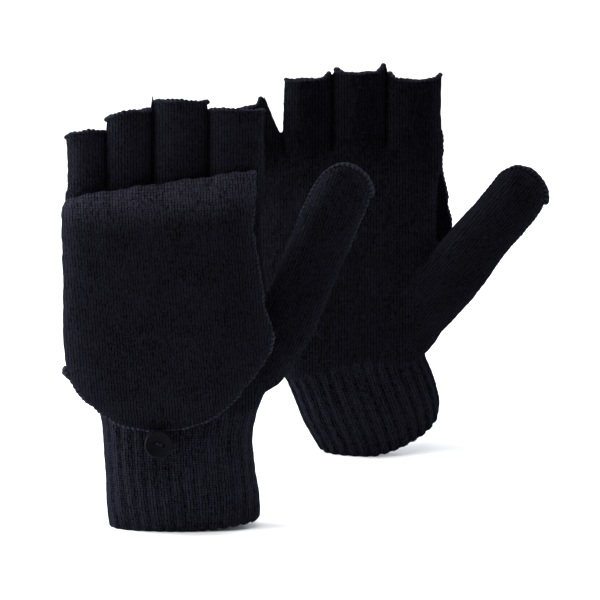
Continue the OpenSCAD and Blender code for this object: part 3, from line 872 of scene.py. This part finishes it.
def cuff(side):
    """Ribbed tube with a rounded rim. Gives its outer surface."""
    rows = smooth_rows(M[side]["cuff"], 14)
    k = len(rows)
    count = RIBS * POINTS_PER_RIB
    ph = np.arange(count) / POINTS_PER_RIB
    wave = np.clip(0.66 + 0.95 * np.sin(2 * np.pi * ph), 0, 1)
    wave = wave * wave * (3 - 2 * wave)
    deepest = {"left": 0.55, "right": 0.85}[side]
    outside = []
    for i, s in enumerate(rows):
        f = i / (k - 1)
        depth = deepest * min(1, max(0, (1 - f) / 0.22)) ** 1.3 * (0.75 + 0.25 * min(1, f / 0.08))
        outside.append(ring(s, count, depth * (wave - 0.5) - (0.5 if i == 0 else 0), n=2.3))
    # rounded rim, then the inside
    rim = outside[0]
    t = unit(outside[1] - rim)
    inw = unit(rim.mean(0) - rim)
    lip = [rim - t * 0.5 * wave[:, None] + inw * 0.35,
           rim - t * (0.5 + 0.7 * wave[:, None]) + inw * 1.0, rim - t * 0.3 + inw * 1.7]
    inside = [ring(rows[i], count, -CUFF_WALL + 0.3 * (wave - 0.5), n=2.3)
              for i in range(4, int(k * 0.8), 4)]
    grid = np.array(inside[::-1] + [ring(rows[0], count, -CUFF_WALL, n=2.3)] + lip[::-1] + outside)
    if side == "left":  # the rim lifts a little towards the thumb
        e = (grid[..., 0] - rows[0][0]) / rows[0][5]
        grid[..., 2] += 4.2 * np.clip(e, 0, 1.1) ** 1.3 * np.clip(1 - grid[..., 2] / 25, 0, 1)
    grid[..., 2] = np.maximum(grid[..., 2], ABOVE_FLOOR)
    v = grid.reshape(-1, 3)
    f = grid_faces(len(grid), count, True)
    rough = 0.32 * bump(v, 16, 1.7) + 0.26 * bump(v, 2.8, 4.7)
    v = v + normals_of(v, f) * (rough * np.clip(v[:, 2] / 4, 0, 1))[:, None]
    v[:, 2] = np.maximum(v[:, 2], ABOVE_FLOOR)
    uv = np.stack([np.tile(ph * WALES_PER_RIB, len(grid)),
                   np.repeat(arc_of(grid[:, 0]), count) / COURSE], 1)
    # the seam column would wrap backwards, so faces there get their own values
    loops = []
    for q in f:
        t4 = uv[list(q[::FRONT[side]])].copy()
        if np.ptp(t4[:, 0]) > 50:
            t4[t4[:, 0] < 50, 0] += RIBS * WALES_PER_RIB
        loops.append(t4)
    # the right cuff gets the copy painted darker
    ob = build(f"{side}_ribbed_cuff", v, f, RIB if side == "left" else RIB_PAINTED_DARKER, side,
               uv_loop=np.concatenate(loops))
    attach(ob, f"{side}_mitten")
    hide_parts(f"{side}_cuff")
    return v, f[-(k - 1) * count:]


# ---- cap -----------------------------------------------------------------------

CAP_FINE = smooth_rows(CAP, 8)


def cap_point(side, u, q, w):
    """u along the knuckle line, q outwards, w down from the knuckle line."""
    at, hang = M[side]["cap"]
    u, q, w = np.broadcast_arrays(np.asarray(u, float), q, w)
    y = -q * math.cos(hang) - w * math.sin(hang)
    z = q * math.sin(hang) - w * math.cos(hang)
    x = u * math.cos(TILT) - z * math.sin(TILT)
    z2 = u * math.sin(TILT) + z * math.cos(TILT)
    return np.stack([x + at[0], y + at[1], z2 + at[2]], -1)


def cap_edge(w, k, side="left"):
    """Column k of the cap's table at w. The right cap bulges by the thumb."""
    out = np.interp(w, CAP_FINE[:, 0], CAP_FINE[:, k])
    if k == 2 and side == "right":
        out = out + 4.5 * np.interp(w, [-10, 20, 44, 70], [0.3, 1, 1, 0])
    return out


def mouth_w(u):
    """The mouth's line, which rises towards the thumb and wavers a little."""
    w = np.interp(u, [-48, -44.6, -42.6, -39, -18, 46], [12, 3.2, -1.0, -2.8, -4.9, -9.8])
    return w + 0.35 * np.sin(u * 0.31 + 1.0) + 0.25 * np.sin(u * 0.83)


def between(w, s, side, tuck=0.0):
    """Place across the cap at s, from -1 to 1. tuck draws the edges in."""
    left, right = cap_edge(w, 1) + 7 * tuck, cap_edge(w, 2, side) - 3 * tuck
    return (left + right) / 2 + (right - left) / 2 * s


def cap_surface(side, ns=130, nt=170):
    """Outer panel as a grid: rows from the mouth, which rolls over, to the tip."""
    s = np.linspace(-1, 1, ns)
    s = np.sin(s * np.pi / 2) * 0.6 + s * 0.4
    t = np.linspace(0, 1, nt) ** 1.35
    t = t * 0.8 + 0.2 * np.sin(t * np.pi / 2)
    S, T = np.meshgrid(s, t)
    W = CAP_LENGTH * T
    for _ in range(12):
        U = between(W, S, side)
        W = mouth_w(U) + (CAP_LENGTH - mouth_w(U)) * T
    below = W - mouth_w(U)
    arch = (1 - np.abs(S) ** 3.0) ** 0.55
    roll = (1 - np.clip((26 - below) / 26, 0, 1) ** 2.2) ** 0.62
    Q = 0.75 + cap_edge(W, 3) * CAP_H * arch * (0.14 + 0.86 * roll)
    return U, Q, W, S, below


def cap_outer(side):
    """Puffed outer panel with its rolled mouth. Gives its outer surface."""
    U, Q, W, S, below = cap_surface(side)
    nt, ns = U.shape
    pts = np.stack([U, Q, W], -1).reshape(-1, 3)
    calm = ((1 - np.abs(S) ** 4) * np.clip(below / 9, 0.15, 1)).reshape(-1)
    soft = 1.7 * bump(pts * [1, 0, 0.8], 34, 5.5) + 0.7 * bump(pts * [1, 0, 1.3], 13, 2.5)
    Q = Q + (soft * calm).reshape(nt, ns) * np.clip(Q / 8, 0, 1)
    U = U + 0.5 * np.abs(S) ** 5 * bump(pts * [1, 1, 0.8], 3.2, 8.8).reshape(nt, ns)
    outer = cap_point(side, U, Q, W)
    Qi = np.maximum(Q - 1.7, 0.8)
    inner = cap_point(side, U * 0.985, Qi, W + 0.6)
    lip = cap_point(side, U[0], (Q[0] + Qi[0]) / 2, W[0] - 0.9)[None]
    v = np.concatenate([inner[::-1], lip, outer]).reshape(-1, 3)
    f = turned(grid_faces(2 * nt + 1, ns, False))
    uv = np.stack([np.concatenate([U[::-1], U[:1], U]).ravel() / WALE,
                   np.concatenate([W[::-1] - 300, W[:1] - 1, W]).ravel() / COURSE], 1)
    ob = build(f"{side}_cap_outer_knit", v, f, CAPKNIT, side, uv=uv)
    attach(ob, f"{side}_cap")
    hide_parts(f"{side}_cap_outer_panel", f"{side}_cap_hem")
    return v, f[-(nt - 1) * (ns - 1):]


def cap_inner(side):
    """Flat panel against the back of the hand, thinned to nothing at its edge."""
    S, W = np.meshgrid(np.linspace(-1, 1, 60), np.linspace(0, CAP_LENGTH, 90))
    U = between(W, S, side, tuck=np.clip(1 - W / 20, 0, 1) ** 2)
    soft = 0.25 * bump(np.stack([U, U * 0, W], -1).reshape(-1, 3), 20, 4.4).reshape(U.shape)
    edge = np.clip((1 - np.abs(S)) * 8, 0, 1)
    front, back = (cap_point(side, U, (q + soft) * edge, W).reshape(-1, 3) for q in (0.72, -0.72))
    f = grid_faces(*U.shape, False)
    v, f = merge([(front, turned(f)), (back, f)])
    uv = np.concatenate([np.stack([U.ravel() / WALE, W.ravel() / COURSE], 1)] * 2)
    ob = build(f"{side}_cap_inner_knit", v, f, JERSEY, side, uv=uv)
    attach(ob, f"{side}_cap")
    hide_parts(f"{side}_cap_inner_panel")


def cap_stitching(side):
    """Seam from the outer corner round the tip and up the thumb's side."""
    wl = np.linspace(76, CAP_LENGTH, 60)
    wr = np.linspace(float(mouth_w(44)), CAP_LENGTH, 120)[::-1]
    u = np.concatenate([cap_edge(wl, 1), cap_edge(wr, 2, side)])
    p = resample(cap_point(side, u, 0.9, np.concatenate([wl, wr])), STEP)
    at = np.arange(len(p)) * STEP
    rad = 0.56 + 0.36 * np.abs(np.sin(np.pi * at / 2.3)) + 0.55 * bump(p, 4, 1.1)
    # the corner by the thumb gathers, and stitches bunch where the seam begins
    corner = (p[:, 2] - cap_point(side, 0, 0, 66)[2]) / 2.2
    rad = rad + 0.7 * np.exp(-corner ** 2) * (p[:, 0] > M[side]["cap"][0][0])
    rad = rad + 1.1 * np.exp(-((at - 3.0) / 2.4) ** 2)
    p = p + np.stack([0.8 * bump(p, 7, 2.2), 0.4 * bump(p, 5, 3.3), 0.8 * bump(p, 7, 4.1)], 1)
    p[:, 0] -= 0.5 * np.exp(-((at - 3.0) / 3.0) ** 2)
    v, f, uv = sweep(p, rad)
    ob = build(f"{side}_cap_edge_stitching", v, f, SEAM, side, uv=uv)
    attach(ob, f"{side}_cap")
    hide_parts(f"{side}_cap_edge_seam")


def knuckle_stitching(side):
    """Stitches that join the cap to the knuckles."""
    d = M[side]
    top, knuckle = d["hand"][-1], d["cap"][0]
    x = np.linspace(-38, 38, 160)
    y = top[1] - (top[6] + 0.9) * (1 - (np.abs(x) / 45) ** OUTLINE) ** (1 / OUTLINE)
    p = np.stack([knuckle[0] + 1 + x, y, knuckle[2] + 1.9 + x * math.tan(TILT)], 1)
    p = resample(p, STEP)
    rad = 0.7 + 0.3 * np.abs(np.sin(np.pi * np.arange(len(p)) * STEP / 2.4))
    v, f, uv = sweep(p, rad, sides=8)
    ob = build(f"{side}_knuckle_stitching", v, f, SEAM, side, uv=uv)
    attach(ob, f"{side}_mitten")
    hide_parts(f"{side}_cap_joining_seam")


# ---- button --------------------------------------------------------------------

def button(side):
    """Dished two-hole button on a wound shank of thread."""
    at, pitch = M[side]["button"]
    c, s = math.cos(pitch), math.sin(pitch)
    cr, sr = math.cos(BUTTON_TURN), math.sin(BUTTON_TURN)

    def place(p):
        p = np.asarray(p, float)
        x, y = p[:, 0] * cr + p[:, 1] * sr, p[:, 1] * cr - p[:, 0] * sr
        return np.stack([x, -p[:, 2] * c - y * s, y * c - p[:, 2] * s], 1) + at

    top, sides = SHANK, 96
    prof = smooth_rows(BUTTON_PROFILE, 3)
    a = np.linspace(0, 2 * np.pi, sides, endpoint=False)
    v = np.stack([np.outer(prof[:, 0], np.cos(a)), np.outer(prof[:, 0], np.sin(a)),
                  np.repeat(prof[:, 1:], sides, 1) + top], -1).reshape(-1, 3)
    f = grid_faces(len(prof), sides, True) + end_faces(len(prof), sides)
    ob = build(f"{side}_button_disc", place(v), f, BUTTON, side)
    for x in (-2, 2):  # the holes are cut through
        q = np.stack([x + 0.95 * np.cos(a[::3]), 0.95 * np.sin(a[::3])], 1)
        v = np.vstack([np.c_[q, np.full(len(q), top - 1)], np.c_[q, np.full(len(q), top + 5)]])
        f = grid_faces(2, len(q), True) + end_faces(2, len(q))
        hole = build("hole", place(v), f, BUTTON, side)
        m = ob.modifiers.new("hole", "BOOLEAN")
        m.object, m.operation, m.solver = hole, "DIFFERENCE", "EXACT"
        dg = bpy.context.evaluated_depsgraph_get()
        me = bpy.data.meshes.new_from_object(ob.evaluated_get(dg))
        ob.modifiers.clear()
        ob.data = me
        bpy.data.objects.remove(hole)
    ob.data.set_sharp_from_angle(angle=math.radians(40))
    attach(ob, f"{side}_button_body")
    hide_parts(f"{side}_button")
    # three strands from hole to hole, and the wound shank
    paths = []
    for y in (-0.38, 0.0, 0.38):
        half = [(-1.65, y, top - 0.6), (-1.65, y, top + 1.6), (-1.4, y, top + 2.3),
                (-0.8, y * 0.9, top + 2.45)]
        rest = [(-x, y0, z) for x, y0, z in half[::-1]]
        paths.append((smooth_rows(half + [(0, y * 0.8, top + 2.45)] + rest, 6), 0.3))
    w = np.linspace(0, 1, 260)
    r = 1.3 + 0.9 * w ** 2 + 0.08 * np.sin(w * 37)
    coil = np.stack([r * np.cos(w * 58), r * np.sin(w * 58), -0.3 + w * (top + 0.35)], 1)
    tubes = [sweep(p, rad, sides=8, up=(0.1, 1, 0.2)) for p, rad in paths + [(coil, 0.33)]]
    v, f = merge([x[:2] for x in tubes])
    ob = build(f"{side}_button_stitches", place(v), f, THREAD, side,
               uv=np.concatenate([x[2] for x in tubes]))
    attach(ob, f"{side}_button_body")
    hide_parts(f"{side}_button_thread")


# ---- make everything -----------------------------------------------------------

for n, side in enumerate(("left", "right")):
    body, skins = knitted_pieces(side)
    edges = finger_edges(side)
    tube = cuff(side)
    lid = cap_outer(side)
    cap_inner(side)
    cap_stitching(side)
    knuckle_stitching(side)
    thumb_seam(side)
    button(side)
    # loose fibres
    ob = fuzz("hand", *merge([skins["hand"], tube]), side, 11 + n)
    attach(ob, f"{side}_mitten")
    ob = fuzz("cap", *lid, side, 21 + n)
    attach(ob, f"{side}_cap")
    ob = fuzz("thumb", *skins["thumb"], side, 31 + n)
    blend_thumb(ob, side)
    ob = fuzz("finger", *skins["fingers"], side, 41 + n)
    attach(ob, f"{side}_mitten")
    # the stalls, their fibres and their edges get meshes of their own; flat_y, where the empty
    # stalls would flatten under the closed cap, is not used
    flat_y = float(world([0, BACK + 0.3, 0], side)[1])
    for ob in [body["fingers"], ob] + edges:
        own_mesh(ob)
    # the loop keeps its CAD shape and only gets the thread's material
    me = frame["nodes"][f"{side}_button_loop"].data
    me.materials.clear()
    me.materials.append(THREAD)


# ---- camera, light, floor, in m ------------------------------------------------

def aim_at(ob, at, target):
    """Place an object and turn its -Z to the target."""
    ob.location = at
    ob.rotation_euler = (Vector(target) - Vector(at)).to_track_quat("-Z", "Y").to_euler()
    return link(ob)


def area(name, at, target, size, power, colour=(1, 1, 1)):
    lamp = bpy.data.lights.new(name, "AREA")
    lamp.shape = "RECTANGLE"
    lamp.size, lamp.size_y = size
    lamp.energy = power
    lamp.color = colour
    aim_at(bpy.data.objects.new(name, lamp), at, target)


DISTANCE, ELEVATION, VIEW_WIDTH, SENSOR = 10.0, math.radians(15), 0.276, 36
cam = bpy.data.cameras.new("camera")
cam.sensor_width = SENSOR
cam.lens = SENSOR * DISTANCE / VIEW_WIDTH
cam.clip_end = 100
aim = Vector((-0.002475, 0, 0.0904))
eye = aim + DISTANCE * Vector((0, -math.cos(ELEVATION), math.sin(ELEVATION)))
bpy.context.scene.camera = aim_at(bpy.data.objects.new("camera", cam), eye, aim)

COOL = (0.88, 0.92, 1)
area("top", (-0.12, -0.26, 1.2), (0, -0.02, 0.1), (1.1, 0.8), 16)
area("key", (-0.95, -0.42, 0.5), (-0.07, -0.06, 0.12), (0.3, 0.45), 8)
area("rim_left", (-0.70, 0.14, 0.26), (-0.05, 0, 0.1), (0.35, 0.6), 17, COOL)
area("wash", (0, 2.4, 1.8), (0, 2.4, 0), (3.4, 1.8), 60)  # keeps the far floor white
area("rim_right", (0.75, 0.45, 0.40), (0.05, 0, 0.12), (0.35, 0.7), 8, COOL)

studio = bpy.data.worlds.new("studio")
bpy.context.scene.world = studio
studio.use_nodes = True
studio.node_tree.nodes["Background"].inputs[0].default_value = (1, 1, 1, 1)
studio.node_tree.nodes["Background"].inputs[1].default_value = 0.2

me = bpy.data.meshes.new("floor")
half = 12.0
me.from_pydata([(-half, -half, 0), (half, -half, 0), (half, half, 0), (-half, half, 0)], [],
               [(0, 1, 2, 3)])
floor = link(bpy.data.objects.new("floor", me))
paper = Nodes("floor_white")
paper.b.inputs["Base Color"].default_value = (0.93, 0.93, 0.935, 1)
paper.b.inputs["Roughness"].default_value = 0.9
paper.b.inputs["Specular IOR Level"].default_value = 0.1
me.materials.append(paper.mat)

settings = bpy.context.scene.view_settings
settings.view_transform = "Standard"
settings.look = "None"
settings.exposure = 0.0
